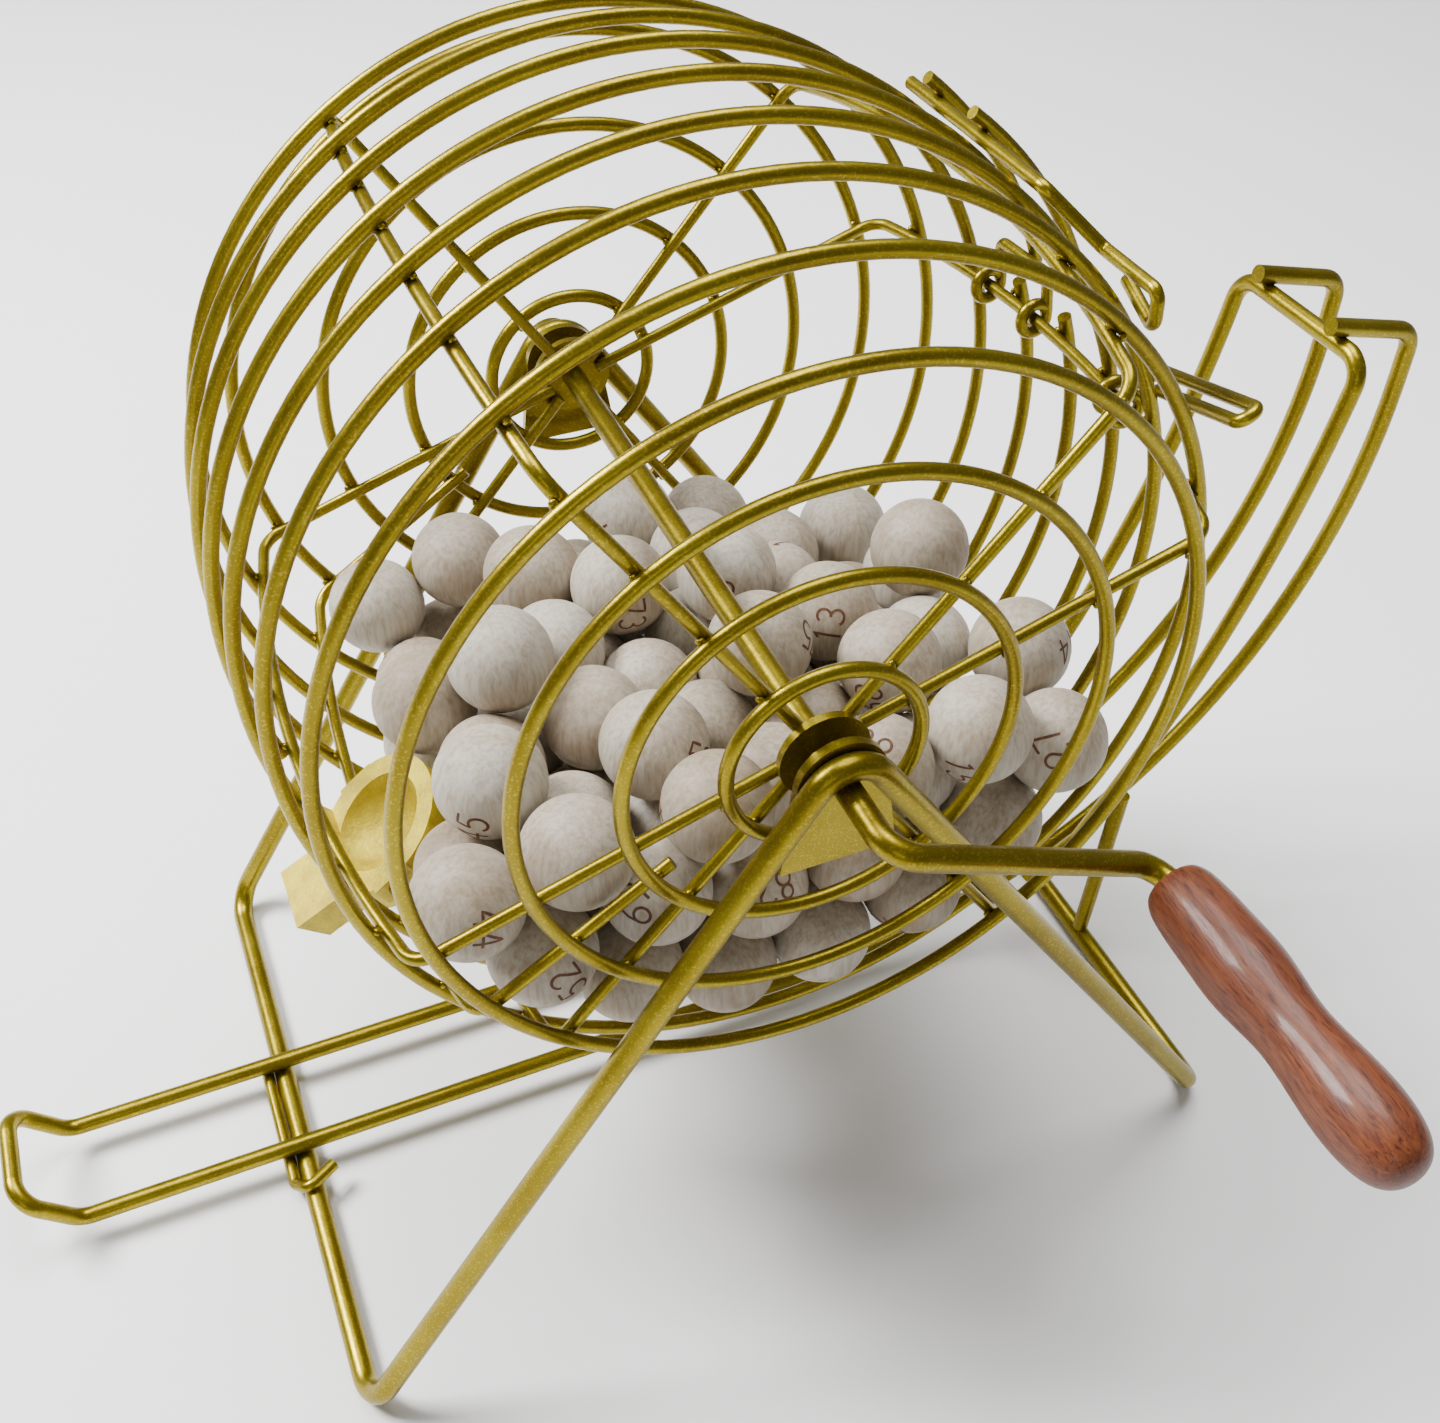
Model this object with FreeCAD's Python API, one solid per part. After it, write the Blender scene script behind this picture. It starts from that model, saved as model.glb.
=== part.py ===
import FreeCAD, Part
import math
import os

# Table-top bingo cage: a crank-turned wire barrel of numbered balls on a bent-wire stand, with a
# ball dispenser in the barrel wall, a hinged filling hatch and a wire track for the drawn balls.
# The axle lies along Y, the crank is on the -Y side and the track runs down towards -X.
# The origin is on the table, straight below the middle of the axle.  Millimetres.

Vec = FreeCAD.Vector
Y_AXIS = Vec(0, 1, 0)

# ---- wire sizes -------------------------------------------------------------------------------
STAND_WIRE = 5.5
AXLE_WIRE = 5.5
RAIL_WIRE = 4.5
POST_WIRE = 4.5
RING_WIRE = 3.2
RIB_WIRE = 2.8
HATCH_WIRE = 2.8
CLIP_WIRE = 3.2
WELD_SINK = 0.05            # how far two welded wires sink into each other

# ---- stand ------------------------------------------------------------------------------------
FOOT_X = 116.0              # half the distance between the two base bars
FRAME_Y = 86.5              # half the distance between the two A-frames
BASE_Z = STAND_WIRE / 2
AXLE_Z = 164.0              # height of the axle above the table
APEX_BEND = 8.0             # centreline radius of the bend over the axle
APEX_RISE = 6.2             # highest point of that centreline above the axle
FOOT_BEND = 9.0
PLATE_THICK = 2.0
PLATE_HALF_WIDTH = 12.5
PLATE_DROP = 21.0           # plate edge below the axle
PLATE_CROWN = 9.5           # radius of the plate's rounded top
AXLE_PLAY = 0.05            # radial running clearance of axle and handle

# ---- barrel -----------------------------------------------------------------------------------
BARREL_RADIUS = 99.1        # wire centre of the middle ring
BARREL_CURVE = 300.0        # radius of the barrel's side profile
FACE_Y = 76.0               # wire centre of the flat end rings
FACE_STEP = 20.6            # radial step between the end rings
BARREL_RING_Y = (-60.5, -38.7, -19.0, 0.0, 19.0, 38.7, 60.5)
RIB_ANGLES = {"rib_top_left": 124.0, "rib_hatch_upper": 48.0, "rib_hatch_lower": 18.0,
              "rib_gate_upper": 198.0, "rib_gate_lower": 228.0, "rib_bottom_right": 304.0}
GATE_RIB_ANGLE = 213.0
GATE_RIB_START = 36.5       # radius where the short gate rib's ends stop
RIB_START = 6.2             # radius where the other ribs end, under the hub discs
RIB_BEND = 6.0
HUB_RADIUS = 9.6
HUB_THICK = 1.8
AXLE_REAR_END = 94.0
RETAINER_RADIUS = 6.5
RETAINER_THICK = 2.5

# ---- crank ------------------------------------------------------------------------------------
ARM_Y = -104.5
ARM_LENGTH = 68.0
ARM_ANGLE = -24.4
CRANK_BEND = 6.5
HANDLE_START_Y = -111.5
HANDLE_LENGTH = 72.0
HANDLE_BORE_DEPTH = 58.0
HANDLE_PROFILE = ((0.0, 6.4), (0.02, 7.1), (0.06, 7.7), (0.12, 8.1), (0.21, 8.4), (0.33, 8.65),
                  (0.43, 8.0), (0.53, 7.3), (0.63, 7.7), (0.72, 8.3), (0.80, 8.55), (0.88, 8.1))   # share, radius
HANDLE_DOME = 12.0          # strength of the rounded end's tangents
PIN_END_GAP = 3.0

# ---- ball dispenser ---------------------------------------------------------------------------
GATE_ANGLE = 209.5          # the cup's mouth lies in the half plane at this angle
GATE_Y = -12.5
CUP_RADIUS = 92.0           # distance of the cup's axis from the barrel's axis
CUP_BORE = 12.6             # radius of the pocket that takes one ball
CUP_OUTER = 17.0
CUP_DEPTH = 15.5
POCKET_CENTRE = -1.5        # centre of the pocket's round bottom, ahead of the mouth
MOUTH_TILT = 8.5            # the mouth's outer side lies lower than its inner side, in degrees
FLANGE = (88.5, 98.0, 8.5)  # square flange round the cup: inner and outer radius, depth
LIP_HALF_WIDTH = 9.0
LIP_TOP = 5.4
LIP_BOTTOM = 13.3
LIP_OUTER = 119.5
LIP_SLANT = 2.9
GATE_RING_START = 198.8     # the two cut rings end just past the rib above the mouth
GATE_RING_END = 217.0       # and resume inside the bottom of the cup
GATE_RIB_GAP = 14.0         # the short rib is interrupted this far each side of the cup's middle

# ---- hatch ------------------------------------------------------------------------------------
HATCH_LOW_CUT = 20.4        # the hatch rings end just past the two hatch ribs
HATCH_HIGH_CUT = 46.0
DOOR_ROD_ANGLE = 50.0
DOOR_ROD_RADIUS = 102.6
DOOR_ROD_REAR_Y = 30.0
DOOR_ROD_FRONT_Y = -25.0
DOOR_TIP_ANGLE = 52.8       # the bars' free ends stand out past the free-edge rod
DOOR_BAR_Y = {"door_bar_front": 0.0, "door_bar_rear": 19.0}
DOOR_EYE_Y = (9.5, 28.5)    # eyes of the hatch on its hinge rib
HINGE_ROD_ANGLE = 23.2
HINGE_ROD_RISE = 5.6        # hinge rod above the hinge line
HINGE_ROD_START_Y = -4.0
TAB_ANGLE = 41.0
TAB_RETURN_ANGLE = 37.4
TAB_ROOT_Y = -31.0
TAB_TIP_Y = -50.0
TAB_TIP_DROP = 4.4
HINGE_GAP = 0.6             # radial play of the eyes on the hinge rib
LATCH_EYE_Y = (-25.5, -31.0)
LATCH_TIP_ANGLE = 27.0
LATCH_TIP_Y = -66.0
LATCH_LOW_RADIUS = 100.9
LATCH_GAP = 4.6             # between the two legs of the latch, centre to centre

# ---- track ------------------------------------------------------------------------------------
TRACK_Y = 3.0               # middle of the track
RAIL_HALF_GAP = 14.25
GUARD_HALF_GAP = 24.0
RAIL_CURVE = 160.0
RAIL_CURVE_X = 28.0
RAIL_FLAT_Z = STAND_WIRE + RAIL_WIRE / 2 - WELD_SINK
RAIL_TOP_X = 161.0
RAIL_TOP_Z = 187.9
RAIL_SHOULDER_Z = 181.5
RAIL_END_X = -172.0
STOP_REACH = 11.5
STOP_RISE = 14.3
GUARD_TOP_X = 164.0
GUARD_TOP_Z = 182.62        # the free ends of the rails rest on the crossbar
GUARD_MID = (141.0, 98.0)
GUARD_FOOT_X = 100.0
GUARD_FOOT_RUN = 24.0       # stretch over which each guard closes up to its rail
GUARD_KNEE_RUN = 4.0
RAIL_BEND = 6.5
POST_TOP_Z = 60.0

# ---- balls ------------------------------------------------------------------------------------
BALL_RADIUS = 11.9
BALL_COLUMNS = ("balls_01_15", "balls_16_30", "balls_31_45", "balls_46_60", "balls_61_75",
                "balls_76_90")
BALLS_PER_COLUMN = 15
BALL_GAP = 0.06             # least gap between two resting balls
WALL_GAP = 0.5              # least gap between a ball and whatever turns with the barrel
SETTLE_STEPS = 620
PART_STEPS = 260            # last steps, which only push the balls apart
FALL_STEP = 0.9


# ---- helpers ----------------------------------------------------------------------------------
def polar(radius, degrees, y):
    """A point around the axle: degrees count from +X towards +Z."""
    a = math.radians(degrees)
    return Vec(radius * math.cos(a), y, AXLE_Z + radius * math.sin(a))


def unit(vector):
    return Vec(vector).normalize()


def round_corner(before, corner, after, radius):
    """Tangent arc that replaces a corner of a bent wire: its first, middle and last points."""
    towards_start = unit(before - corner)
    towards_end = unit(after - corner)
    half = math.acos(max(-1.0, min(1.0, towards_start.dot(towards_end)))) / 2
    reach = radius / math.tan(half)
    centre = corner + unit(towards_start + towards_end) * (radius / math.sin(half))
    middle = centre + unit(corner - centre) * radius
    return corner + towards_start * reach, middle, corner + towards_end * reach


def bent_path(points, radius):
    """Straight runs through the points, joined by tangent arcs."""
    edges = []
    start = points[0]
    for before, corner, after in zip(points, points[1:], points[2:]):
        first, middle, last = round_corner(before, corner, after, radius)
        edges.append(Part.LineSegment(start, first).toShape())
        edges.append(Part.Arc(first, middle, last).toShape())
        start = last
    edges.append(Part.LineSegment(start, points[-1]).toShape())
    return edges


def wire_solid(edges, diameter):
    """A round wire of the given diameter along tangent edges."""
    path = Part.Wire(edges)
    first = edges[0]
    start = first.valueAt(first.FirstParameter)
    heading = first.tangentAt(first.FirstParameter)
    section = Part.Wire([Part.makeCircle(diameter / 2, start, heading)])
    return path.makePipeShell([section], True, False)


def bent_wire(points, radius, diameter):
    return wire_solid(bent_path(points, radius), diameter)


def arc_edge(radius, start, end, y):
    """Arc around the axle, from one angle to another."""
    middle = (start + end) / 2
    return Part.Arc(polar(radius, start, y), polar(radius, middle, y), polar(radius, end, y)).toShape()


def arc_wire(radius, start, end, y, diameter):
    return wire_solid([arc_edge(radius, start, end, y)], diameter)


def full_ring(radius, y):
    return Part.makeTorus(radius, RING_WIRE / 2, Vec(0, y, AXLE_Z), Y_AXIS)


def save(name, solids):
    shape = solids[0] if len(solids) == 1 else Part.makeCompound(solids)
    shape.exportStep(os.path.join("parts", name + ".step"))


# ---- stand ------------------------------------------------------------------------------------
def a_frame(side):
    """One bent rod: half of each base bar, both legs and the bend over the axle."""
    y = side * FRAME_Y
    bend_z = AXLE_Z + APEX_RISE - APEX_BEND
    # the legs are tangent to the apex bend, so their meeting point lies above it
    lean = 0.5
    for _ in range(30):
        lean = math.atan((FOOT_X - APEX_BEND / math.cos(lean)) / (bend_z - BASE_Z))
    apex_z = bend_z + APEX_BEND / math.sin(lean)
    left = [Vec(-FOOT_X, 0, BASE_Z), Vec(-FOOT_X, y, BASE_Z), Vec(0, y, apex_z)]
    foot_left = round_corner(*left, FOOT_BEND)
    apex = round_corner(left[1], left[2], Vec(FOOT_X, y, BASE_Z), APEX_BEND)
    foot_right = round_corner(left[2], Vec(FOOT_X, y, BASE_Z), Vec(FOOT_X, 0, BASE_Z), FOOT_BEND)
    edges = [Part.LineSegment(left[0], foot_left[0]).toShape(), Part.Arc(*foot_left).toShape(),
             Part.LineSegment(foot_left[2], apex[0]).toShape(), Part.Arc(*apex).toShape(),
             Part.LineSegment(apex[2], foot_right[0]).toShape(), Part.Arc(*foot_right).toShape(),
             Part.LineSegment(foot_right[2], Vec(FOOT_X, 0, BASE_Z)).toShape()]
    return wire_solid(edges, STAND_WIRE)


def bearing_plate(side):
    """Plate welded inside an A-frame: round crown over the axle, straight foot, running bore."""
    inner = side * (FRAME_Y - STAND_WIRE / 2 - PLATE_THICK + WELD_SINK)
    outer = side * (FRAME_Y - STAND_WIRE / 2 + WELD_SINK)
    y = min(inner, outer)
    foot_z = AXLE_Z - PLATE_DROP
    corners = [Vec(-PLATE_HALF_WIDTH, y, foot_z), Vec(PLATE_HALF_WIDTH, y, foot_z)]
    crown = [Vec(PLATE_CROWN, y, AXLE_Z), Vec(0, y, AXLE_Z + PLATE_CROWN), Vec(-PLATE_CROWN, y, AXLE_Z)]
    outline = Part.Wire([Part.LineSegment(corners[0], corners[1]).toShape(),
                         Part.LineSegment(corners[1], crown[0]).toShape(),
                         Part.Arc(*crown).toShape(),
                         Part.LineSegment(crown[2], corners[0]).toShape()])
    plate = Part.Face(outline).extrude(Vec(0, PLATE_THICK, 0))
    bore = Part.makeCylinder(AXLE_WIRE / 2 + AXLE_PLAY, 3 * PLATE_THICK, Vec(0, y - PLATE_THICK, AXLE_Z), Y_AXIS)
    return plate.cut(bore)


# ---- track ------------------------------------------------------------------------------------
def rail_profile(y):
    """Edges of one rail from its top end down the curve to the low end of the track."""
    curve_centre = Vec(RAIL_CURVE_X, y, RAIL_FLAT_Z + RAIL_CURVE)
    rail_x = RAIL_CURVE_X + RAIL_CURVE
    top = Vec(RAIL_TOP_X, y, RAIL_TOP_Z)
    shoulder = Vec(rail_x, y, RAIL_SHOULDER_Z)
    curve_start = curve_centre + Vec(RAIL_CURVE, 0, 0)
    diagonal = RAIL_CURVE * math.sqrt(0.5)
    curve_middle = curve_centre + Vec(diagonal, 0, -diagonal)
    curve_end = curve_centre - Vec(0, 0, RAIL_CURVE)
    first, middle, last = round_corner(top, shoulder, curve_start, RAIL_BEND)
    return [Part.LineSegment(top, first).toShape(), Part.Arc(first, middle, last).toShape(),
            Part.LineSegment(last, curve_start).toShape(),
            Part.Arc(curve_start, curve_middle, curve_end).toShape()]


def track_rail():
    """The two running rails and the raised end stop, bent from one rod."""
    near_y = TRACK_Y - RAIL_HALF_GAP
    far_y = TRACK_Y + RAIL_HALF_GAP
    stop_x = RAIL_END_X - STOP_REACH
    stop_z = RAIL_FLAT_Z + STOP_RISE
    low_end = [Vec(RAIL_CURVE_X, near_y, RAIL_FLAT_Z), Vec(RAIL_END_X, near_y, RAIL_FLAT_Z),
               Vec(stop_x, near_y, stop_z), Vec(stop_x, far_y, stop_z),
               Vec(RAIL_END_X, far_y, RAIL_FLAT_Z), Vec(RAIL_CURVE_X, far_y, RAIL_FLAT_Z)]
    near = wire_solid(rail_profile(near_y), RAIL_WIRE)
    far = wire_solid(rail_profile(far_y), RAIL_WIRE)
    flat = bent_wire(low_end, RAIL_BEND, RAIL_WIRE)
    return near.fuse([flat, far]).removeSplitter()


def guard_arc():
    """Centreline of a guard between its crossbar and its foot, in the plane y = 0."""
    foot_z = RAIL_FLAT_Z + RAIL_CURVE - math.sqrt(RAIL_CURVE ** 2 - (GUARD_FOOT_X - RAIL_CURVE_X) ** 2)
    top = Vec(GUARD_TOP_X, 0, GUARD_TOP_Z - RAIL_BEND)
    middle = Vec(GUARD_MID[0], 0, GUARD_MID[1])
    return Part.Arc(top, middle, Vec(GUARD_FOOT_X, 0, foot_z)).toShape()


def track_guard():
    """Both side guards and the bar across their top, bent from one rod."""
    arc = guard_arc()
    span = arc.LastParameter - arc.FirstParameter
    aside = Vec(0, TRACK_Y - GUARD_HALF_GAP, 0)
    close_start = arc.FirstParameter + span * (1 - GUARD_FOOT_RUN / arc.Length)
    top = arc.valueAt(arc.FirstParameter) + aside
    middle = arc.valueAt((arc.FirstParameter + close_start) / 2) + aside
    low = arc.valueAt(close_start) + aside
    knee = low + unit(arc.tangentAt(close_start)) * GUARD_KNEE_RUN
    foot = arc.valueAt(arc.LastParameter)
    foot.y = TRACK_Y - RAIL_HALF_GAP - RAIL_WIRE + 2 * WELD_SINK
    corner = top - unit(arc.tangentAt(arc.FirstParameter)) * RAIL_BEND
    centre = Vec(corner.x, TRACK_Y, corner.z)
    first, bend, last = round_corner(foot, knee, low, RAIL_WIRE)
    high_first, high_bend, high_last = round_corner(top, corner, centre, RAIL_BEND)
    half = [Part.LineSegment(foot, first).toShape(), Part.Arc(first, bend, last).toShape(),
            Part.LineSegment(last, low).toShape(), Part.Arc(low, middle, top).toShape(),
            Part.Arc(top, high_bend, high_last).toShape(), Part.LineSegment(high_last, centre).toShape()]
    other = [edge.mirror(Vec(0, TRACK_Y, 0), Y_AXIS) for edge in reversed(half)]
    return wire_solid(half + other, RAIL_WIRE)


def track_post():
    """Rod from the right base bar up to the near guard."""
    guard_y = TRACK_Y - GUARD_HALF_GAP
    foot = Vec(FOOT_X, guard_y - RAIL_WIRE, STAND_WIRE - WELD_SINK)
    top_x = FOOT_X + 4.0
    head = Vec(top_x, guard_y - RAIL_WIRE / 2 - POST_WIRE / 2 + WELD_SINK, POST_TOP_Z)
    axis = head - foot
    return Part.makeCylinder(POST_WIRE / 2, axis.Length, foot, axis)


def track_saddle():
    """Clip on the left base bar: it runs under both rails and hooks back over the bar."""
    side_x = -FOOT_X - STAND_WIRE / 2 - CLIP_WIRE / 2 + WELD_SINK
    over_z = STAND_WIRE + CLIP_WIRE / 2 - WELD_SINK
    under_z = RAIL_FLAT_Z - RAIL_WIRE / 2 - CLIP_WIRE / 2
    near_y = TRACK_Y - RAIL_HALF_GAP
    far_y = TRACK_Y + RAIL_HALF_GAP
    points = [Vec(side_x, far_y + RAIL_WIRE, under_z), Vec(side_x, near_y - 2 * RAIL_WIRE, under_z),
              Vec(side_x + CLIP_WIRE, near_y - 3 * RAIL_WIRE, over_z),
              Vec(-FOOT_X + 2 * CLIP_WIRE, near_y - 2 * RAIL_WIRE, over_z)]
    return bent_wire(points, CLIP_WIRE * 0.7, CLIP_WIRE)


# ---- barrel -----------------------------------------------------------------------------------
def side_radius(y):
    """Wire centre of the barrel's rings at a place along the axle."""
    return BARREL_RADIUS - BARREL_CURVE + math.sqrt(BARREL_CURVE ** 2 - y ** 2)


def rib_offset():
    return (RING_WIRE + RIB_WIRE) / 2 - WELD_SINK


def rib(degrees, start_radius):
    """One lengthwise wire: along one end, round the rim, along the side and back to the hub."""
    face_y = FACE_Y - rib_offset()
    curve = BARREL_CURVE - rib_offset()
    curve_centre_radius = BARREL_RADIUS - BARREL_CURVE
    # the rim bend is tangent to the flat end and to the side's arc
    bend_y = face_y - RIB_BEND
    bend_radius = curve_centre_radius + math.sqrt((curve - RIB_BEND) ** 2 - bend_y ** 2)
    slope = math.atan2(bend_y, bend_radius - curve_centre_radius)
    side_y = curve * math.sin(slope)
    side_r = curve_centre_radius + curve * math.cos(slope)
    middle = (slope + math.pi / 2) / 2
    bend_mid_y = bend_y + RIB_BEND * math.sin(middle)
    bend_mid_r = bend_radius + RIB_BEND * math.cos(middle)
    top_r = curve_centre_radius + curve
    edges = [Part.LineSegment(polar(start_radius, degrees, -face_y), polar(bend_radius, degrees, -face_y)),
             Part.Arc(polar(bend_radius, degrees, -face_y), polar(bend_mid_r, degrees, -bend_mid_y),
                      polar(side_r, degrees, -side_y)),
             Part.Arc(polar(side_r, degrees, -side_y), polar(top_r, degrees, 0), polar(side_r, degrees, side_y)),
             Part.Arc(polar(side_r, degrees, side_y), polar(bend_mid_r, degrees, bend_mid_y),
                      polar(bend_radius, degrees, face_y)),
             Part.LineSegment(polar(bend_radius, degrees, face_y), polar(start_radius, degrees, face_y))]
    return wire_solid([edge.toShape() for edge in edges], RIB_WIRE)


def barrel_rings():
    """Name and solids of each ring round the barrel's side; two are cut at the hatch."""
    rings = {}
    hatch_rings = list(DOOR_BAR_Y.values())
    for number, y in enumerate(BARREL_RING_Y, 1):
        radius = side_radius(y)
        cut_at_gate = abs(y - GATE_Y) < CUP_OUTER
        cut_at_hatch = y in hatch_rings
        if cut_at_gate and cut_at_hatch:
            solids = [arc_wire(radius, HATCH_HIGH_CUT, GATE_RING_START, y, RING_WIRE),
                      arc_wire(radius, GATE_RING_END, 360 + HATCH_LOW_CUT, y, RING_WIRE)]
        elif cut_at_gate:
            solids = [arc_wire(radius, GATE_RING_END, 360 + GATE_RING_START, y, RING_WIRE)]
        elif cut_at_hatch:
            solids = [arc_wire(radius, HATCH_HIGH_CUT, 360 + HATCH_LOW_CUT, y, RING_WIRE)]
        else:
            solids = [full_ring(radius, y)]
        rings["barrel_ring_%d" % number] = solids
    return rings


def end_rings():
    """The four flat rings on each end of the barrel, numbered from the hub outwards."""
    rings = {}
    for end, y in (("front", -FACE_Y), ("rear", FACE_Y)):
        for number in range(1, 5):
            rings["%s_ring_%d" % (end, number)] = [full_ring(number * FACE_STEP - 0.1, y)]
    return rings


def disc(radius, thickness, start_y):
    """Round plate on the axle, bored to the axle's size."""
    blank = Part.makeCylinder(radius, thickness, Vec(0, start_y, AXLE_Z), Y_AXIS)
    return blank.cut(Part.makeCylinder(AXLE_WIRE / 2, thickness, Vec(0, start_y, AXLE_Z), Y_AXIS))


def hub_disc(side):
    spoke_face = FACE_Y - rib_offset() + RIB_WIRE / 2 - WELD_SINK
    start_y = spoke_face if side > 0 else -spoke_face - HUB_THICK
    return disc(HUB_RADIUS, HUB_THICK, start_y)


# ---- crank ------------------------------------------------------------------------------------
def crank_axle():
    """Axle, crank arm and handle pin, bent from one rod."""
    arm_end = polar(ARM_LENGTH, ARM_ANGLE, ARM_Y)
    pin_end_y = HANDLE_START_Y - HANDLE_BORE_DEPTH + PIN_END_GAP
    points = [Vec(0, AXLE_REAR_END, AXLE_Z), Vec(0, ARM_Y, AXLE_Z), arm_end, Vec(arm_end.x, pin_end_y, arm_end.z)]
    return bent_wire(points, CRANK_BEND, AXLE_WIRE)


def crank_handle():
    """Turned wooden grip: shouldered neck, slight waist and a fuller rounded end, blind bore."""
    start = polar(ARM_LENGTH, ARM_ANGLE, HANDLE_START_Y)
    rim = [Vec(start.x + radius, start.y - share * HANDLE_LENGTH, start.z) for share, radius in HANDLE_PROFILE]
    swell = rim[-1]
    tip = Vec(start.x, start.y - HANDLE_LENGTH, start.z)
    curve = Part.BSplineCurve()
    curve.interpolate(rim)
    slope = curve.tangent(curve.LastParameter)[0]
    dome = Part.BSplineCurve()
    dome.interpolate(Points=[swell, tip], InitialTangent=slope * HANDLE_DOME, FinalTangent=Vec(-HANDLE_DOME, 0, 0))
    outline = Part.Wire([Part.LineSegment(start, rim[0]).toShape(), curve.toShape(), dome.toShape(),
                         Part.LineSegment(tip, start).toShape()])
    grip = Part.Face(outline).revolve(start, Y_AXIS, 360)
    bore = Part.makeCylinder(AXLE_WIRE / 2 + AXLE_PLAY, HANDLE_BORE_DEPTH, start, Vec(0, -1, 0))
    return grip.cut(bore)


# ---- ball dispenser ---------------------------------------------------------------------------
def gate_place(shape):
    """Put a shape built with X radial and Z along the turning direction into its place."""
    shape.Placement = FreeCAD.Placement(Vec(0, GATE_Y, AXLE_Z), FreeCAD.Rotation(Y_AXIS, -GATE_ANGLE))
    return shape


def gate_rib():
    """Short rib through the dispenser: interrupted where it would cross the pocket."""
    gap = Part.makeBox(2 * BARREL_RADIUS, 2 * GATE_RIB_GAP, 2 * BARREL_RADIUS,
                       Vec(-2 * BARREL_RADIUS, GATE_Y - GATE_RIB_GAP, AXLE_Z - 2 * BARREL_RADIUS))
    return rib(GATE_RIB_ANGLE, GATE_RIB_START).cut(gap).Solids


def ball_dispenser(inserted):
    """Cast cup for one ball with a flange and an outer lip, cast round the inserted wire ends."""
    along = Vec(0, 0, 1)
    cup = Part.makeCylinder(CUP_OUTER, CUP_DEPTH, Vec(CUP_RADIUS, 0, 0), along)
    cup = cup.makeChamfer(4.0, [edge for edge in cup.Edges if edge.BoundBox.ZMin > CUP_DEPTH - 0.01])
    inner, outer, depth = FLANGE
    flange = Part.makeBox(outer - inner, 2 * CUP_OUTER, depth, Vec(inner, -CUP_OUTER, 0))
    outline = [Vec(CUP_RADIUS + CUP_BORE, 0, LIP_TOP), Vec(LIP_OUTER, 0, LIP_TOP),
               Vec(LIP_OUTER - LIP_SLANT, 0, LIP_BOTTOM), Vec(CUP_RADIUS + 4.0, 0, LIP_BOTTOM)]
    lip = Part.Face(Part.makePolygon(outline + outline[:1])).extrude(Vec(0, 2 * LIP_HALF_WIDTH, 0))
    lip.translate(Vec(0, -LIP_HALF_WIDTH, 0))
    bottom = Vec(CUP_RADIUS, 0, POCKET_CENTRE)
    pocket = Part.makeCylinder(CUP_BORE, CUP_OUTER, bottom - along * CUP_OUTER, along)
    pocket = pocket.fuse(Part.makeSphere(CUP_BORE, bottom))
    slope = Part.makeBox(6 * CUP_OUTER, 6 * CUP_OUTER, CUP_OUTER, Vec(0, -3 * CUP_OUTER, -CUP_OUTER))
    slope.rotate(Vec(CUP_RADIUS - CUP_OUTER, 0, 0), Y_AXIS, -MOUTH_TILT)
    casting = cup.fuse([flange, lip]).removeSplitter().cut([pocket, slope])
    return gate_place(casting).cut(inserted)


# ---- hatch ------------------------------------------------------------------------------------
def rib_radius(y):
    """Wire centre of a rib at a place along the barrel's side."""
    curve = BARREL_CURVE - rib_offset()
    return BARREL_RADIUS - BARREL_CURVE + math.sqrt(curve ** 2 - y ** 2)


def hinge_spot(y, rise=0.0, degrees=0.0):
    """A point on the hinge rib, or above it or turned towards the hatch."""
    return polar(rib_radius(y) + rise, RIB_ANGLES["rib_hatch_lower"] + degrees, y)


def eye_radius():
    return (RIB_WIRE + HATCH_WIRE) / 2 + HINGE_GAP


def eyes(first_y, second_y):
    """Two closed loops of wire round the hinge rib, square to the line between them."""
    first = hinge_spot(first_y)
    second = hinge_spot(second_y)
    return [Part.makeTorus(eye_radius(), HATCH_WIRE / 2, spot, second - first) for spot in (first, second)]


def on_hinge_rod(y):
    """Centre of the hatch's hinge rod, which runs parallel to the hinge line."""
    first, second = [hinge_spot(eye_y, HINGE_ROD_RISE, HINGE_ROD_ANGLE - RIB_ANGLES["rib_hatch_lower"])
                     for eye_y in DOOR_EYE_Y]
    return first + (second - first) * ((y - DOOR_EYE_Y[0]) / (DOOR_EYE_Y[1] - DOOR_EYE_Y[0]))


def door_hinge_wire():
    """Rod beside the hinge rib with a leg and an eye near its middle and at its rear end."""
    first_y, second_y = DOOR_EYE_Y
    rod = bent_wire([on_hinge_rod(HINGE_ROD_START_Y), on_hinge_rod(second_y), hinge_spot(second_y, eye_radius())],
                    HATCH_WIRE * 0.75, HATCH_WIRE)
    foot = hinge_spot(first_y, eye_radius())
    reach = on_hinge_rod(first_y) - foot
    leg = Part.makeCylinder(HATCH_WIRE / 2, reach.Length, foot, reach)
    return rod.fuse([leg] + eyes(first_y, second_y)).removeSplitter()


def door_bar(name):
    """Curved bar across the hatch, welded on top of the hinge rod and of the free-edge rod."""
    y = DOOR_BAR_Y[name]
    over = HATCH_WIRE - 3 * WELD_SINK
    low = on_hinge_rod(y)
    low_radius = math.hypot(low.x, low.z - AXLE_Z) + over
    start = polar(low_radius, HINGE_ROD_ANGLE - 1.5, y)
    middle_angle = (HINGE_ROD_ANGLE + DOOR_TIP_ANGLE) / 2
    middle = polar((low_radius + DOOR_ROD_RADIUS + over) / 2 + 0.3, middle_angle, y)
    end = polar(DOOR_ROD_RADIUS + over, DOOR_TIP_ANGLE, y)
    return wire_solid([Part.Arc(start, middle, end).toShape()], HATCH_WIRE)


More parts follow.
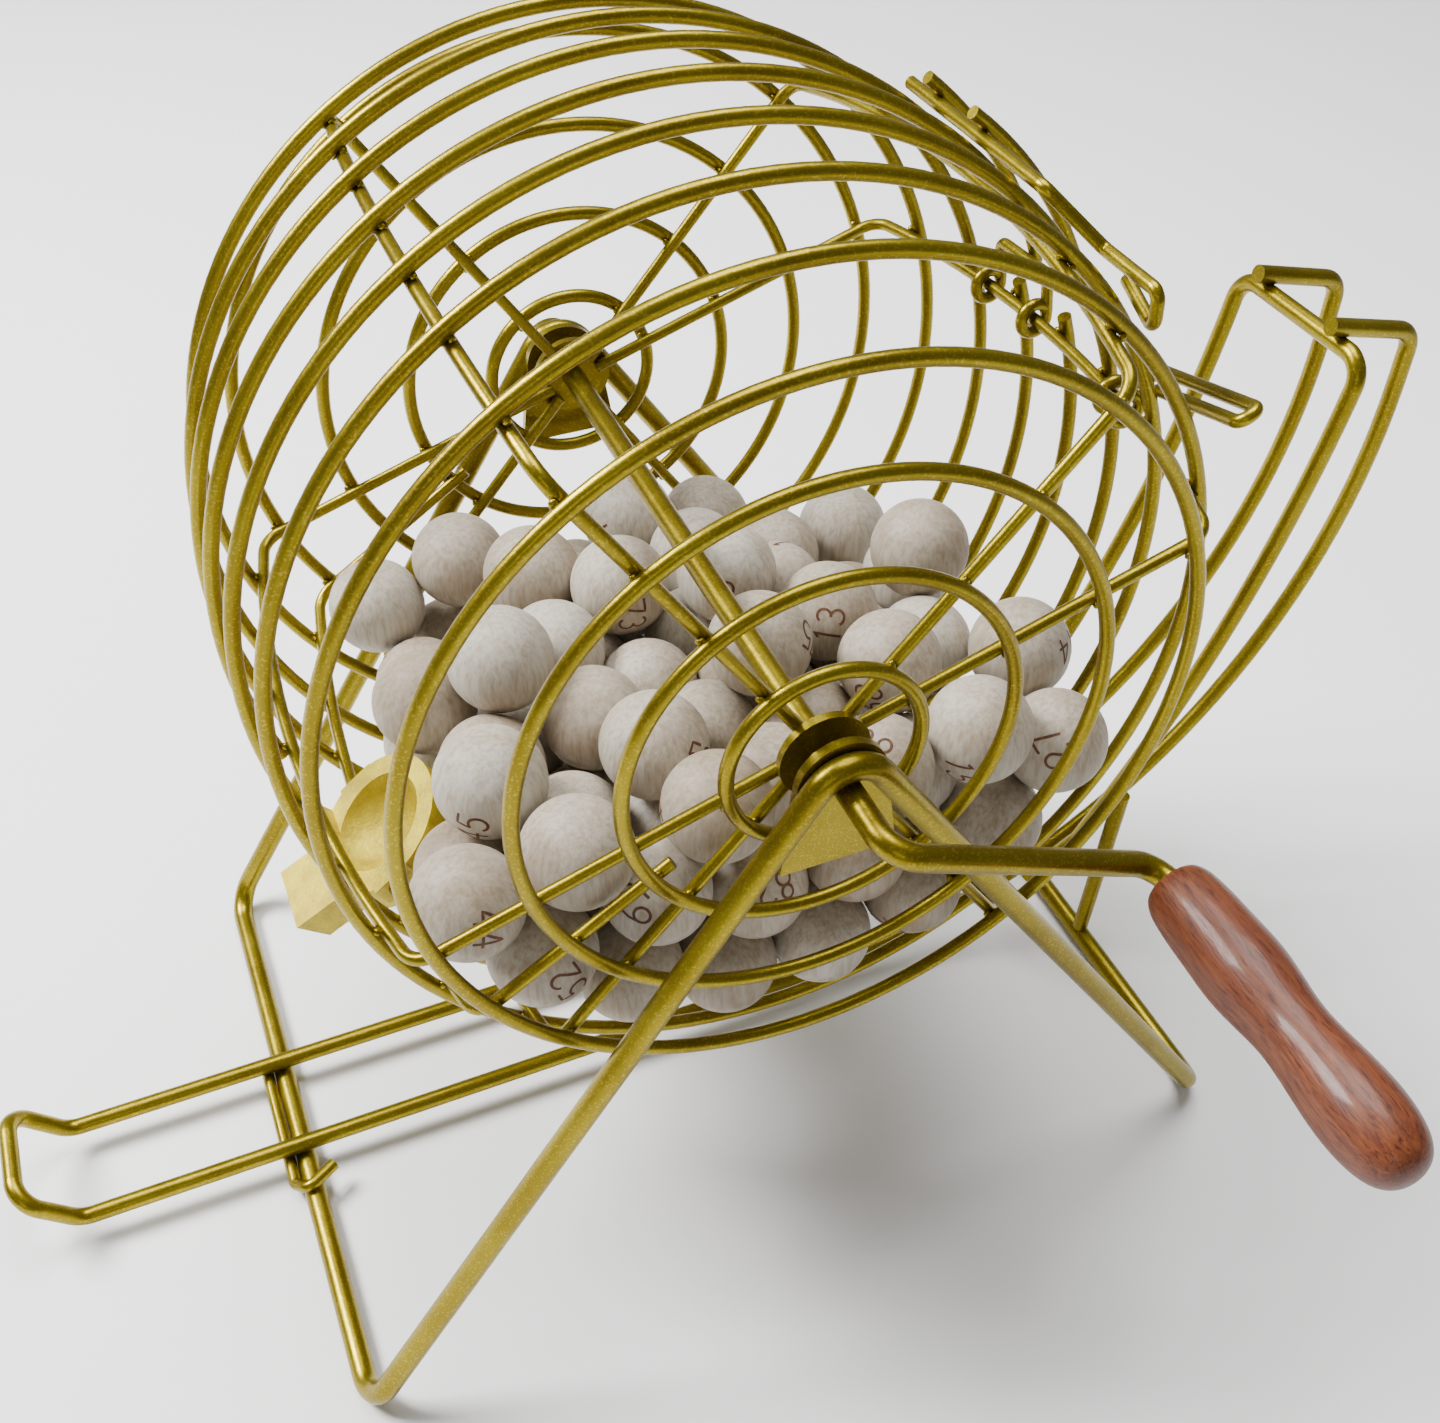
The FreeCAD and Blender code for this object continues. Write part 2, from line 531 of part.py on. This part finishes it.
def door_frame_wire():
    """Free edge of the hatch, bent down at the front and folded back into a finger tab."""
    points = [polar(DOOR_ROD_RADIUS, DOOR_ROD_ANGLE, DOOR_ROD_REAR_Y),
              polar(DOOR_ROD_RADIUS, DOOR_ROD_ANGLE, DOOR_ROD_FRONT_Y),
              polar(DOOR_ROD_RADIUS, TAB_ANGLE, TAB_ROOT_Y),
              polar(DOOR_ROD_RADIUS, TAB_ANGLE, TAB_TIP_Y),
              polar(DOOR_ROD_RADIUS - TAB_TIP_DROP, TAB_RETURN_ANGLE, TAB_TIP_Y),
              polar(DOOR_ROD_RADIUS - 0.4, TAB_RETURN_ANGLE, TAB_ROOT_Y - 4.0)]
    return bent_wire(points, HATCH_WIRE * 0.8, HATCH_WIRE)


def door_latch():
    """Hairpin lever with two eyes on the hinge rib, one leg above the other."""
    first_y, second_y = LATCH_EYE_Y
    high = LATCH_LOW_RADIUS + LATCH_GAP
    points = [hinge_spot(first_y, eye_radius()), polar(high, 19.5, first_y - 4.0),
              polar(high, LATCH_TIP_ANGLE, LATCH_TIP_Y), polar(LATCH_LOW_RADIUS, LATCH_TIP_ANGLE, LATCH_TIP_Y),
              polar(LATCH_LOW_RADIUS, 20.0, second_y - 3.5), hinge_spot(second_y, eye_radius())]
    hairpin = bent_wire(points, LATCH_GAP * 0.45, HATCH_WIRE)
    return hairpin.fuse(eyes(first_y, second_y)).removeSplitter()


# ---- balls ------------------------------------------------------------------------------------
def start_grid():
    """Loose starting rows of balls in the lower part of the barrel."""
    count = len(BALL_COLUMNS) * BALLS_PER_COLUMN
    pitch = 2.2 * BALL_RADIUS
    spots = []
    layer = 0
    while len(spots) < count:
        z = -64.0 + layer * pitch * 0.8
        for row in range(5):
            for place in range(6):
                x = (place - 2.5 + 0.5 * (row % 2)) * pitch + 3.0 * math.sin(7.0 * len(spots))
                y = (row - 2.0) * pitch + 3.0 * math.cos(5.0 * len(spots) + layer)
                if math.hypot(x, z) < 80.0 and len(spots) < count:
                    spots.append([x, y, z])
        layer += 1
    return spots


def swept_obstacles():
    """Things inside the ribs that turn with the barrel: place along the axle, distance from it, own radius."""
    found = [(GATE_Y, CUP_RADIUS, CUP_OUTER),
             (GATE_Y - CUP_OUTER, FLANGE[0], 0.0),
             (GATE_Y + CUP_OUTER, FLANGE[0], 0.0)]
    for y in DOOR_EYE_Y + LATCH_EYE_Y:
        found.append((y, rib_radius(y) - eye_radius(), HATCH_WIRE / 2))
    return found


def keep_inside(spot, obstacles):
    """Push a ball's centre clear of the barrel's ribs and ends, the axle and the swept obstacles."""
    x, y, z = spot
    reach = BALL_RADIUS + WALL_GAP
    end_limit = FACE_Y - rib_offset() - RIB_WIRE / 2 - reach
    y = max(-end_limit, min(end_limit, y))
    limit = rib_radius(abs(y) + RIB_BEND) - RIB_WIRE / 2 - reach
    for middle, distance, own_radius in obstacles:
        aside = abs(y - middle)
        if aside < own_radius + reach:
            limit = min(limit, distance - math.sqrt((own_radius + reach) ** 2 - aside ** 2))
    radius = math.hypot(x, z)
    wanted = max(AXLE_WIRE / 2 + reach, min(limit, radius))
    x *= wanted / radius
    z *= wanted / radius
    spot[:] = [x, y, z]


def push_apart(spots):
    """Move each pair of touching balls apart by half of their overlap each."""
    least = 2 * BALL_RADIUS + BALL_GAP
    for i, a in enumerate(spots):
        for b in spots[i + 1:]:
            dx = b[0] - a[0]
            dy = b[1] - a[1]
            dz = b[2] - a[2]
            if abs(dx) >= least or abs(dy) >= least or abs(dz) >= least:
                continue
            gap = math.sqrt(dx * dx + dy * dy + dz * dz)
            if gap < least:
                share = (least - gap) / (2 * gap)
                a[0] -= dx * share
                a[1] -= dy * share
                a[2] -= dz * share
                b[0] += dx * share
                b[1] += dy * share
                b[2] += dz * share


def settled_balls():
    """Centres of the balls after they have sunk into a heap at the bottom of the barrel."""
    spots = start_grid()
    obstacles = swept_obstacles()
    for step in range(SETTLE_STEPS):
        falling = step < SETTLE_STEPS - PART_STEPS
        for spot in spots:
            if falling:
                spot[2] -= FALL_STEP * (1 - step / SETTLE_STEPS)
            keep_inside(spot, obstacles)
        push_apart(spots)
        for spot in spots:
            keep_inside(spot, obstacles)
    return [Vec(x, y, z + AXLE_Z) for x, y, z in spots]


def ball_nodes():
    """The balls, shared out so that each column of numbers is spread through the heap."""
    centres = settled_balls()
    columns = len(BALL_COLUMNS)
    return {name: [Part.makeSphere(BALL_RADIUS, centre) for centre in centres[column::columns]]
            for column, name in enumerate(BALL_COLUMNS)}


# ---- everything -------------------------------------------------------------------------------
def main():
    os.makedirs("parts", exist_ok=True)
    nodes = {
        "stand_front_frame": [a_frame(-1)],
        "stand_rear_frame": [a_frame(1)],
        "bearing_plate_front": [bearing_plate(-1)],
        "bearing_plate_rear": [bearing_plate(1)],
        "track_rail": [track_rail()],
        "track_guard": [track_guard()],
        "track_post": [track_post()],
        "track_saddle": [track_saddle()],
        "hub_disc_front": [hub_disc(-1)],
        "hub_disc_rear": [hub_disc(1)],
        "crank_axle": [crank_axle()],
        "axle_retainer": [disc(RETAINER_RADIUS, RETAINER_THICK, AXLE_REAR_END - RETAINER_THICK - 1)],
        "crank_handle": [crank_handle()],
        "gate_rib": gate_rib(),
        "door_hinge_wire": [door_hinge_wire()],
        "door_frame_wire": [door_frame_wire()],
        "door_bar_front": [door_bar("door_bar_front")],
        "door_bar_rear": [door_bar("door_bar_rear")],
        "door_latch": [door_latch()],
    }
    for name, degrees in RIB_ANGLES.items():
        nodes[name] = [rib(degrees, RIB_START)]
    rings = barrel_rings()
    nodes.update(rings)
    inserted = nodes["gate_rib"] + [wire for wires in rings.values() for wire in wires]
    nodes["ball_dispenser"] = [ball_dispenser(inserted)]
    nodes.update(end_rings())
    nodes.update(ball_nodes())
    for name, solids in nodes.items():
        save(name, solids)
        for solid in solids:
            if not solid.isValid() or solid.Volume <= 0:
                print("check", name, solid.Volume)
    print(len(nodes), "nodes")


main()
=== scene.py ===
import math
import random

import bmesh
import bpy
from mathutils import Euler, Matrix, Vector


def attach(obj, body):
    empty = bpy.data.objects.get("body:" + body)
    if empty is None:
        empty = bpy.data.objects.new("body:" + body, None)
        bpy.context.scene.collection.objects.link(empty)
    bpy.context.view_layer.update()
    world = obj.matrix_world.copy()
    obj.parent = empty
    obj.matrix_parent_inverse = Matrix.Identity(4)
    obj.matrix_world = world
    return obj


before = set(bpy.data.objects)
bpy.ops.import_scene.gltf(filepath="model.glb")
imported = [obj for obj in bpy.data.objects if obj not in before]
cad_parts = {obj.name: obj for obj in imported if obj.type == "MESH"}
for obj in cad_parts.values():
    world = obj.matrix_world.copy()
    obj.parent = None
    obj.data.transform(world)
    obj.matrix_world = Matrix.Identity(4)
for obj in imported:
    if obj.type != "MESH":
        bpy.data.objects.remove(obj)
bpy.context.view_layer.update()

MM = 0.001

# ---- camera -----------------------------------------------------------------------------------
CAMERA_PLACE = (-0.0990, -0.2686, 0.3700)
CAMERA_TURN = (45.16, -0.96, -23.70)
CAMERA_LENS = 39.25
CAMERA_SHIFT = (-0.0375, 0.0534)

# ---- cage dimensions, millimetres -------------------------------------------------------------
AXLE_Z = 164.0
BARREL_RADIUS = 99.1
BARREL_CURVE = 300.0
FACE_Y = 76.0
FACE_STEP = 20.6
RING_WIRE = 3.2
RING_Y = (-60.5, -38.7, -19.0, 0.0, 19.0, 38.7, 60.5)
GATE_RING_Y = (-19.0, 0.0)
LONG_RIBS = (124.0, 48.0, 18.0, 198.0, 228.0, 304.0)
GATE_RIB = 213.0
BALL_RADIUS = 11.9
NUMBER_HEIGHT = 6.4
NUMBER_STROKE = 0.66
NUMBER_LIFT = 0.035             # ribbons of the numbers lie this far off the ball
DIGIT_PITCH = 0.74              # distance between two digits, as a share of their height
NUMBER_SEED = 75
WELD_SEED = 11
FLOOR_HALF = 6.0                # metres


# ---- node helpers -----------------------------------------------------------------------------
class Shader:
    """A material under construction: short calls that add a node and link it."""

    def __init__(self, name):
        self.material = bpy.data.materials.new(name)
        self.material.use_nodes = True
        self.tree = self.material.node_tree
        self.surface = self.tree.nodes["Principled BSDF"]
        self.place = self.add("ShaderNodeTexCoord").outputs["Object"]

    def add(self, kind, **values):
        node = self.tree.nodes.new(kind)
        for key, value in values.items():
            setattr(node, key, value)
        return node

    def link(self, source, target):
        self.tree.links.new(source, target)

    def stretched(self, scale):
        """Object coordinates multiplied by a scale per axis."""
        node = self.add("ShaderNodeMapping")
        node.inputs["Scale"].default_value = scale
        self.link(self.place, node.inputs["Vector"])
        return node.outputs["Vector"]

    def noise(self, scale, detail=2.0, roughness=0.5, vector=None, distortion=0.0):
        node = self.add("ShaderNodeTexNoise")
        node.inputs["Scale"].default_value = scale
        node.inputs["Detail"].default_value = detail
        node.inputs["Roughness"].default_value = roughness
        node.inputs["Distortion"].default_value = distortion
        self.link(vector or self.place, node.inputs["Vector"])
        return node.outputs["Fac"]

    def ramp(self, source, stops):
        node = self.add("ShaderNodeValToRGB")
        ramp = node.color_ramp
        while len(ramp.elements) < len(stops):
            ramp.elements.new(0.5)
        for element, (position, color) in zip(ramp.elements, stops):
            element.position = position
            element.color = (*color, 1.0)
        self.link(source, node.inputs["Fac"])
        return node.outputs["Color"]

    def spread(self, source, low, high):
        """Map 0..1 to a range."""
        node = self.add("ShaderNodeMapRange")
        node.inputs["To Min"].default_value = low
        node.inputs["To Max"].default_value = high
        self.link(source, node.inputs["Value"])
        return node.outputs["Result"]

    def mix(self, factor, first, second, mode="MIX"):
        node = self.add("ShaderNodeMix", data_type="RGBA", blend_type=mode)
        if isinstance(factor, float):
            node.inputs["Factor"].default_value = factor
        else:
            self.link(factor, node.inputs["Factor"])
        self.link(first, node.inputs["A"])
        self.link(second, node.inputs["B"])
        return node.outputs["Result"]

    def bump(self, height, strength, distance):
        node = self.add("ShaderNodeBump")
        node.inputs["Strength"].default_value = strength
        node.inputs["Distance"].default_value = distance
        self.link(height, node.inputs["Height"])
        return node.outputs["Normal"]

    def set(self, name, value):
        self.surface.inputs[name].default_value = value

    def feed(self, name, source):
        self.link(source, self.surface.inputs[name])


# ---- materials --------------------------------------------------------------------------------
def gold_paint():
    """Bronze-gold lacquer on steel wire: fine flake, slight runs, a little colour drift."""
    shader = Shader("gold_paint")
    drift = shader.noise(45.0, 3.0)
    flake = shader.noise(1900.0, 1.0)
    base = shader.ramp(drift, [(0.30, (0.190, 0.135, 0.004)), (0.70, (0.275, 0.212, 0.010))])
    sparkle = shader.ramp(flake, [(0.56, (0.0, 0.0, 0.0)), (0.70, (0.13, 0.105, 0.018))])
    shader.feed("Base Color", shader.mix(1.0, base, sparkle, "ADD"))
    shader.set("Metallic", 0.88)
    shader.feed("Roughness", shader.spread(shader.noise(160.0, 3.0), 0.24, 0.40))
    shader.feed("Normal", shader.bump(shader.noise(420.0, 4.0), 0.16, 0.0004))
    return shader.material


def gold_casting():
    """Yellow-gold cast metal with a grainy skin and shallow pits."""
    shader = Shader("gold_casting")
    blotch = shader.noise(180.0, 4.0)
    grain = shader.noise(1500.0, 3.0, 0.7)
    base = shader.ramp(blotch, [(0.32, (0.40, 0.285, 0.004)), (0.68, (0.60, 0.48, 0.016))])
    fleck = shader.ramp(grain, [(0.50, (0.0, 0.0, 0.0)), (0.75, (0.14, 0.13, 0.04))])
    shader.feed("Base Color", shader.mix(1.0, base, fleck, "ADD"))
    shader.set("Metallic", 0.30)
    shader.feed("Roughness", shader.spread(grain, 0.36, 0.60))
    shader.feed("Normal", shader.bump(shader.noise(700.0, 6.0, 0.65), 0.45, 0.0008))
    return shader.material


def ball_wood():
    """Pale raw wood, turned: fine fibre lines, soft stains, a different tone on each ball."""
    shader = Shader("ball_wood")
    ball = shader.add("ShaderNodeNewGeometry").outputs["Random Per Island"]
    fibre = shader.noise(60.0, 6.0, 0.65, shader.stretched((14.0, 14.0, 1.6)), 0.4)
    stain = shader.noise(70.0, 3.0)
    tone = shader.ramp(ball, [(0.0, (0.37, 0.315, 0.245)), (0.35, (0.48, 0.435, 0.365)),
                              (0.70, (0.55, 0.52, 0.46)), (1.0, (0.40, 0.340, 0.265))])
    line = shader.ramp(fibre, [(0.36, (0.74, 0.68, 0.60)), (0.60, (1.0, 1.0, 1.0))])
    mark = shader.ramp(stain, [(0.34, (0.86, 0.80, 0.74)), (0.56, (1.0, 1.0, 1.0))])
    shader.feed("Base Color", shader.mix(1.0, shader.mix(1.0, tone, line, "MULTIPLY"), mark, "MULTIPLY"))
    shader.feed("Roughness", shader.spread(fibre, 0.42, 0.60))
    shader.set("Specular IOR Level", 0.35)
    shader.feed("Normal", shader.bump(fibre, 0.10, 0.0003))
    return shader.material


def number_ink():
    """Scorched brown of the burnt-in numbers."""
    shader = Shader("number_ink")
    burn = shader.noise(900.0, 3.0)
    char = shader.ramp(burn, [(0.35, (0.075, 0.026, 0.012)), (0.65, (0.14, 0.058, 0.028))])
    shader.feed("Base Color", char)
    shader.feed("Roughness", shader.spread(burn, 0.65, 0.85))
    return shader.material


def handle_wood():
    """Red-brown varnished hardwood with the grain along the handle."""
    shader = Shader("handle_wood")
    grain = shader.noise(90.0, 7.0, 0.7, shader.stretched((9.0, 0.7, 9.0)), 0.8)
    pore = shader.noise(420.0, 3.0, 0.6, shader.stretched((4.0, 0.5, 4.0)))
    base = shader.ramp(grain, [(0.30, (0.066, 0.014, 0.005)), (0.50, (0.125, 0.031, 0.010)),
                               (0.72, (0.200, 0.060, 0.017))])
    pores = shader.ramp(pore, [(0.34, (0.50, 0.42, 0.38)), (0.46, (1.0, 1.0, 1.0))])
    shader.feed("Base Color", shader.mix(1.0, base, pores, "MULTIPLY"))
    shader.feed("Roughness", shader.spread(grain, 0.42, 0.55))
    shader.set("Specular IOR Level", 0.30)
    shader.set("Coat Weight", 0.16)
    shader.set("Coat Roughness", 0.14)
    shader.feed("Normal", shader.bump(pore, 0.35, 0.0003))
    return shader.material


def floor_paint():
    """Plain pale studio floor with the faintest mottling."""
    shader = Shader("floor_paint")
    mottle = shader.noise(6.0, 3.0)
    shader.feed("Base Color", shader.ramp(mottle, [(0.0, (0.90, 0.90, 0.90)), (1.0, (0.94, 0.94, 0.94))]))
    shader.set("Roughness", 0.85)
    return shader.material


def dress_nodes(paint, casting, balls, handle):
    """Give every CAD node the material of its slot."""
    for name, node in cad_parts.items():
        if name.startswith("balls_"):
            material = balls
        elif name == "crank_handle":
            material = handle
        elif name == "ball_dispenser":
            material = casting
        else:
            material = paint
        for slot in node.material_slots:
            slot.material = material


# ---- meshes -----------------------------------------------------------------------------------
def new_piece(name, mesh_builder, material, body):
    mesh = bpy.data.meshes.new(name)
    mesh_builder.to_mesh(mesh)
    mesh_builder.free()
    mesh.materials.append(material)
    piece = bpy.data.objects.new(name, mesh)
    bpy.context.scene.collection.objects.link(piece)
    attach(piece, body)
    return piece


# ---- ball numbers -----------------------------------------------------------------------------
def arc_points(cx, cy, rx, ry, start, end, count=14):
    """Points of an elliptical arc, degrees counted anticlockwise from the right."""
    angles = [math.radians(start + (end - start) * i / (count - 1)) for i in range(count)]
    return [(cx + rx * math.cos(a), cy + ry * math.sin(a)) for a in angles]


def digit_strokes(digit):
    """Strokes of a round-hand digit in a box 1 high and 0.56 wide, its middle at 0, 0."""
    if digit == "0":
        return [arc_points(0, 0, 0.27, 0.5, 90, 450, 26)]
    if digit == "1":
        return [[(-0.12, 0.32), (0.04, 0.5), (0.04, -0.5)]]
    if digit == "2":
        return [arc_points(0, 0.23, 0.26, 0.27, 165, -35) + [(-0.27, -0.5), (0.28, -0.5)]]
    if digit == "3":
        return [arc_points(-0.01, 0.25, 0.24, 0.25, 150, -90),
                arc_points(-0.01, -0.24, 0.28, 0.26, 90, -150)]
    if digit == "4":
        return [[(0.10, -0.5), (0.10, 0.5), (-0.28, -0.18), (0.28, -0.18)]]
    if digit == "5":
        return [[(0.24, 0.5), (-0.18, 0.5), (-0.22, 0.08)] + arc_points(-0.02, -0.18, 0.28, 0.32, 130, -150)]
    if digit == "6":
        return [[(0.16, 0.5), (-0.06, 0.26)] + arc_points(0, -0.22, 0.27, 0.28, 150, 510, 24)]
    if digit == "7":
        return [[(-0.27, 0.5), (0.27, 0.5), (-0.06, -0.5)]]
    if digit == "8":
        return [arc_points(0, 0.26, 0.22, 0.24, -90, 270, 22),
                arc_points(0, -0.24, 0.27, 0.26, 90, 450, 22)]
    return [[(-0.16, -0.5), (0.06, -0.26)] + arc_points(0, 0.22, 0.27, 0.28, -30, 330, 24)]


def number_strokes(number):
    """Strokes of a whole number, in millimetres."""
    text = str(number)
    strokes = []
    for place, digit in enumerate(text):
        shift = (place - (len(text) - 1) / 2) * DIGIT_PITCH
        for stroke in digit_strokes(digit):
            strokes.append([((x + shift) * NUMBER_HEIGHT, y * NUMBER_HEIGHT) for x, y in stroke])
    return strokes


def wrap_on_ball(centre, turn, x, y):
    """Lay a flat drawing on the ball: distances from its middle are kept along the surface."""
    reach = math.hypot(x, y)
    angle = reach / BALL_RADIUS
    if reach < 1e-9:
        spot = Vector((0, 0, 1))
    else:
        spot = Vector((math.sin(angle) * x / reach, math.sin(angle) * y / reach, math.cos(angle)))
    return (centre + turn @ spot * (BALL_RADIUS + NUMBER_LIFT)) * MM


def split_long_runs(points, longest=0.8):
    """Add points so that straight strokes bend round the ball too."""
    out = [points[0]]
    for (x0, y0), (x1, y1) in zip(points, points[1:]):
        parts = max(1, math.ceil(math.hypot(x1 - x0, y1 - y0) / longest))
        out += [(x0 + (x1 - x0) * i / parts, y0 + (y1 - y0) * i / parts) for i in range(1, parts + 1)]
    return out


def add_stroke(builder, centre, turn, points):
    """A flat ribbon along one stroke of a number."""
    points = split_long_runs(points)
    previous = None
    for index, (x, y) in enumerate(points):
        x0, y0 = points[max(0, index - 1)]
        x1, y1 = points[min(len(points) - 1, index + 1)]
        run = math.hypot(x1 - x0, y1 - y0) or 1.0
        side_x = -(y1 - y0) / run * NUMBER_STROKE / 2
        side_y = (x1 - x0) / run * NUMBER_STROKE / 2
        pair = (builder.verts.new(wrap_on_ball(centre, turn, x + side_x, y + side_y)),
                builder.verts.new(wrap_on_ball(centre, turn, x - side_x, y - side_y)))
        if previous:
            builder.faces.new((previous[0], previous[1], pair[1], pair[0]))
        previous = pair


def ball_centres(node):
    """Middle of each separate ball in a node's mesh, in millimetres."""
    builder = bmesh.new()
    builder.from_mesh(node.data)
    bmesh.ops.remove_doubles(builder, verts=builder.verts, dist=1e-6)
    unseen = set(builder.verts)
    centres = []
    while unseen:
        front = [unseen.pop()]
        found = list(front)
        while front:
            for edge in front.pop().link_edges:
                for vert in edge.verts:
                    if vert in unseen:
                        unseen.remove(vert)
                        front.append(vert)
                        found.append(vert)
        low = [min(vert.co[axis] for vert in found) for axis in range(3)]
        high = [max(vert.co[axis] for vert in found) for axis in range(3)]
        centres.append(Vector([(a + b) / 2 / MM for a, b in zip(low, high)]))
    builder.free()
    return sorted(centres, key=lambda centre: (round(centre.z, 1), round(centre.x, 1)))


def number_balls(material):
    """One number on every ball, each ball turned its own way."""
    draw = random.Random(NUMBER_SEED)
    for name in sorted(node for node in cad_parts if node.startswith("balls_")):
        first = int(name.split("_")[1])
        builder = bmesh.new()
        for offset, centre in enumerate(ball_centres(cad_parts[name])):
            turn = Euler([draw.uniform(0, 2 * math.pi) for _ in range(3)]).to_matrix()
            for stroke in number_strokes(first + offset):
                add_stroke(builder, centre, turn, stroke)
        new_piece(name.replace("balls", "numbers"), builder, material, "ball_load")


# ---- welds ------------------------------------------------------------------------------------
def polar(radius, degrees, y):
    a = math.radians(degrees)
    return Vector((radius * math.cos(a), y, AXLE_Z + radius * math.sin(a)))


def outward(degrees):
    """Direction away from the axle at an angle."""
    return polar(1, degrees, 0) - Vector((0, 0, AXLE_Z))


def side_radius(y):
    return BARREL_RADIUS - BARREL_CURVE + math.sqrt(BARREL_CURVE ** 2 - y ** 2)


def crossing_welds():
    """Places where a ring of the barrel lies on a rib, with the outward direction there."""
    places = []
    for degrees in LONG_RIBS + (GATE_RIB,):
        for y in RING_Y:
            at_cut = y in GATE_RING_Y and degrees == GATE_RIB
            if not at_cut:
                radius = side_radius(y) - RING_WIRE / 2
                places.append((polar(radius, degrees, y), outward(degrees), degrees))
        for end in (-1, 1):
            for ring in range(1, 5):
                if degrees != GATE_RIB or ring > 1:
                    spot = polar(ring * FACE_STEP, degrees, end * (FACE_Y - RING_WIRE / 2))
                    places.append((spot, Vector((0, end, 0)), degrees))
    return places


def add_blob(builder, place, size, draw):
    """A small lumpy bead of weld metal."""
    made = bmesh.ops.create_icosphere(builder, subdivisions=2, radius=1.0)
    turn = Euler([draw.uniform(0, math.pi) for _ in range(3)]).to_matrix()
    for vert in made["verts"]:
        lump = 1.0 + draw.uniform(-0.10, 0.10)
        stretched = Vector((vert.co.x * size[0], vert.co.y * size[1], vert.co.z * size[2])) * lump
        vert.co = (place + turn @ stretched) * MM


def barrel_welds(paint):
    """Two little beads in the corners of every crossing."""
    draw = random.Random(WELD_SEED)
    builder = bmesh.new()
    for place, facing, degrees in crossing_welds():
        on_side = abs(facing.y) < 0.5
        rib_way = Vector((0, 1, 0)) if on_side else outward(degrees)
        ring_way = facing.cross(rib_way)
        for side in (-1, 1):
            spot = place + ring_way * side * draw.uniform(0.9, 1.3) + rib_way * side * draw.uniform(0.7, 1.2)
            grow = draw.uniform(0.85, 1.2)
            add_blob(builder, spot, (0.95 * grow, 0.8 * grow, 0.7 * grow), draw)
    for face in builder.faces:
        face.smooth = True
    new_piece("barrel_welds", builder, paint, "cage")


# ---- stage ------------------------------------------------------------------------------------
def build_floor(material):
    builder = bmesh.new()
    bmesh.ops.create_grid(builder, x_segments=1, y_segments=1, size=FLOOR_HALF)
    mesh = bpy.data.meshes.new("floor")
    builder.to_mesh(mesh)
    builder.free()
    mesh.materials.append(material)
    floor = bpy.data.objects.new("floor", mesh)
    bpy.context.scene.collection.objects.link(floor)


def area_light(name, place, target, size, power, color=(1.0, 1.0, 1.0)):
    light = bpy.data.lights.new(name, "AREA")
    light.shape = "RECTANGLE"
    light.size, light.size_y = size
    light.energy = power
    light.color = color
    lamp = bpy.data.objects.new(name, light)
    lamp.location = place
    lamp.rotation_euler = (Vector(target) - Vector(place)).to_track_quat("-Z", "Y").to_euler()
    bpy.context.scene.collection.objects.link(lamp)


def build_lights():
    world = bpy.data.worlds.new("studio")
    world.use_nodes = True
    background = world.node_tree.nodes["Background"]
    background.inputs["Color"].default_value = (1.0, 1.0, 1.0, 1.0)
    background.inputs["Strength"].default_value = 0.24
    bpy.context.scene.world = world
    middle = (0.0, 0.0, 0.15)
    area_light("key", (-0.75, 0.55, 1.10), middle, (0.5, 0.5), 46.0)
    area_light("top", (0.20, 0.30, 1.40), middle, (0.8, 0.8), 24.0)
    area_light("front_fill", (-0.60, -1.20, 0.70), middle, (0.5, 0.5), 1.5)


def build_camera():
    camera = bpy.data.cameras.new("camera")
    camera.lens = CAMERA_LENS
    camera.shift_x, camera.shift_y = CAMERA_SHIFT
    camera.clip_start = 0.01
    holder = bpy.data.objects.new("camera", camera)
    holder.location = CAMERA_PLACE
    holder.rotation_euler = [math.radians(angle) for angle in CAMERA_TURN]
    bpy.context.scene.collection.objects.link(holder)
    bpy.context.scene.camera = holder


# ---- everything -------------------------------------------------------------------------------
paint = gold_paint()
dress_nodes(paint, gold_casting(), ball_wood(), handle_wood())
number_balls(number_ink())
barrel_welds(paint)
build_floor(floor_paint())
build_lights()
build_camera()
